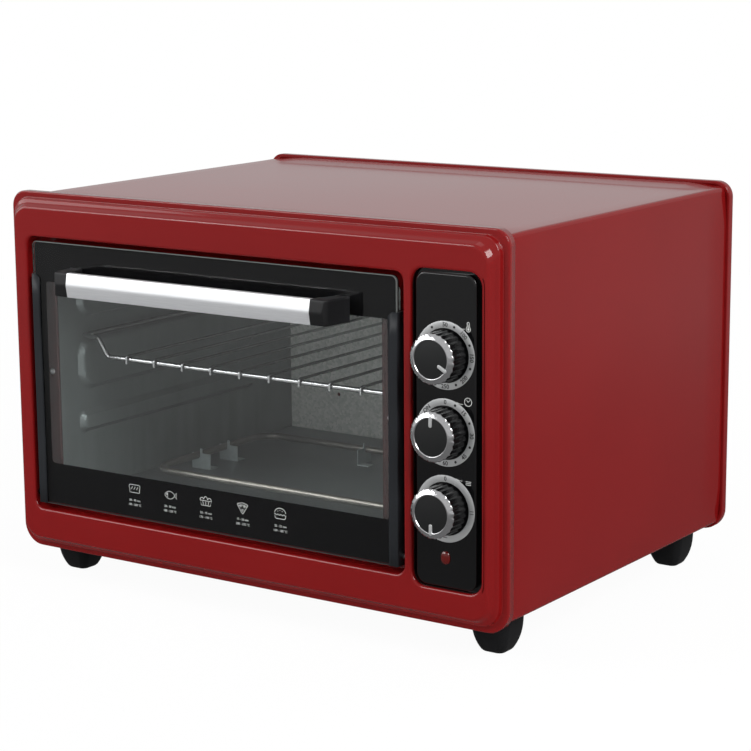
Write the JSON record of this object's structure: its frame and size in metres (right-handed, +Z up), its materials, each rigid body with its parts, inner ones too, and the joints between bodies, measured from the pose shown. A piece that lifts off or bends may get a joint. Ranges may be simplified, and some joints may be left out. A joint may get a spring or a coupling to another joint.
{
  "type": "electric oven",
  "caption": "Countertop electric oven: stepped red case on feet, drop-down glass door with a bar handle, wire rack, tube heaters, and rotary controls beside the door.",
  "frame": {"origin": "centre of the bounding box at the plane of the feet", "axes": "+X to the right seen from the front, +Y from the door into the oven, +Z up"},
  "size_m": [0.52, 0.4328, 0.353],
  "materials": {
    "red_enamel": "satin enamel",
    "galvanised_steel": "spangled galvanised",
    "heater_sheath": "dull heat-stained",
    "ceramic": "glazed ceramic",
    "brass": "plain",
    "chromed_wire": "bright",
    "dark_glass": "clear, with a printed black border",
    "dark_steel": "satin dark grey",
    "packing_felt": "glass-fibre strip",
    "plated_steel": "zinc plated",
    "spring_steel": "oiled",
    "brushed_aluminium": "brushed lengthwise",
    "black_plastic": "fine moulded",
    "gloss_black": "polished",
    "dial_print": "silver print with plain numbers",
    "bright_chrome": "bright",
    "control_case": "moulded phenolic",
    "red_lens": "moulded red",
    "lamp_glass": "clear",
    "lead_insulation": "silicone"
  },
  "bodies": {
    "oven": {"back_panel": "red_enamel", "base_panel": "galvanised_steel", "body_wrap": "red_enamel", "case_screws": "plated_steel", "cavity_back_wall": "galvanised_steel", "cavity_floor": "galvanised_steel", "cavity_left_wall": "galvanised_steel", "cavity_right_wall": "galvanised_steel", "cavity_roof": "galvanised_steel", "control_carrier": "galvanised_steel", "control_leads": "lead_insulation", "control_panel": "gloss_black", "dial_rings": "dial_print", "door_spring": "spring_steel", "feet": "black_plastic", "foot_screws": "plated_steel", "front_frame": "red_enamel", "heat_shield": "galvanised_steel", "heater_seats": "ceramic", "heater_terminals": "brass", "hinge_bushes": "brass", "hinge_plates": "galvanised_steel", "indicator_lamp": "lamp_glass", "indicator_lens": "red_lens", "lead_gland": "black_plastic", "lower_heater": "heater_sheath", "lower_heater_brackets": "galvanised_steel", "selector_switch": "control_case", "terminal_block": "black_plastic", "thermostat": "control_case", "timer": "control_case", "upper_heater": "heater_sheath", "upper_heater_brackets": "galvanised_steel"},
    "door": {"door_bottom_rail": "dark_steel", "door_channel_left": "dark_steel", "door_channel_right": "dark_steel", "door_glass": "dark_glass", "door_hinge_pins": "plated_steel", "door_packings": "packing_felt", "handle_core": "black_plastic", "handle_facing": "brushed_aluminium", "handle_post_left": "black_plastic", "handle_post_right": "black_plastic", "handle_screws": "plated_steel"},
    "rack": {"wire_rack": "chromed_wire"},
    "temperature_knob": {"temperature_knob_barrel": "black_plastic", "temperature_knob_bezel": "bright_chrome", "temperature_knob_cap": "gloss_black", "temperature_knob_pointer": "bright_chrome", "temperature_shaft": "plated_steel"},
    "timer_knob": {"timer_knob_barrel": "black_plastic", "timer_knob_bezel": "bright_chrome", "timer_knob_cap": "gloss_black", "timer_knob_pointer": "bright_chrome", "timer_shaft": "plated_steel"},
    "selector_knob": {"selector_knob_barrel": "black_plastic", "selector_knob_bezel": "bright_chrome", "selector_knob_cap": "gloss_black", "selector_knob_pointer": "bright_chrome", "selector_shaft": "plated_steel"}
  },
  "joints": [
    {"name": "door_hinge", "type": "hinge", "parent": "oven", "child": "door", "pos_m": [-0.0324, -0.1804, 0.08], "axis": [1, 0, 0], "range_deg": [0, 90], "stiffness_Nm_per_rad": 0.25, "springref_deg": -68.75},
    {"name": "rack_slide", "type": "slide", "parent": "oven", "child": "rack", "axis": [0, -1, 0], "range_m": [0, 0.16]},
    {"name": "temperature_turn", "type": "hinge", "parent": "oven", "child": "temperature_knob", "pos_m": [0.2092, -0.1884, 0.25175], "axis": [0, 1, 0], "range_deg": [-142.5, 82.5]},
    {"name": "timer_turn", "type": "hinge", "parent": "oven", "child": "timer_knob", "pos_m": [0.2092, -0.1884, 0.18985], "axis": [0, 1, 0], "range_deg": [-45, 270]},
    {"name": "selector_turn", "type": "hinge", "parent": "oven", "child": "selector_knob", "pos_m": [0.2092, -0.1884, 0.12795], "axis": [0, 1, 0], "range_deg": [-180, 90]}
  ],
  "couplings": [
    {"joint": "rack_slide", "follows": "door_hinge", "m_per_rad": 0.1}
  ]
}
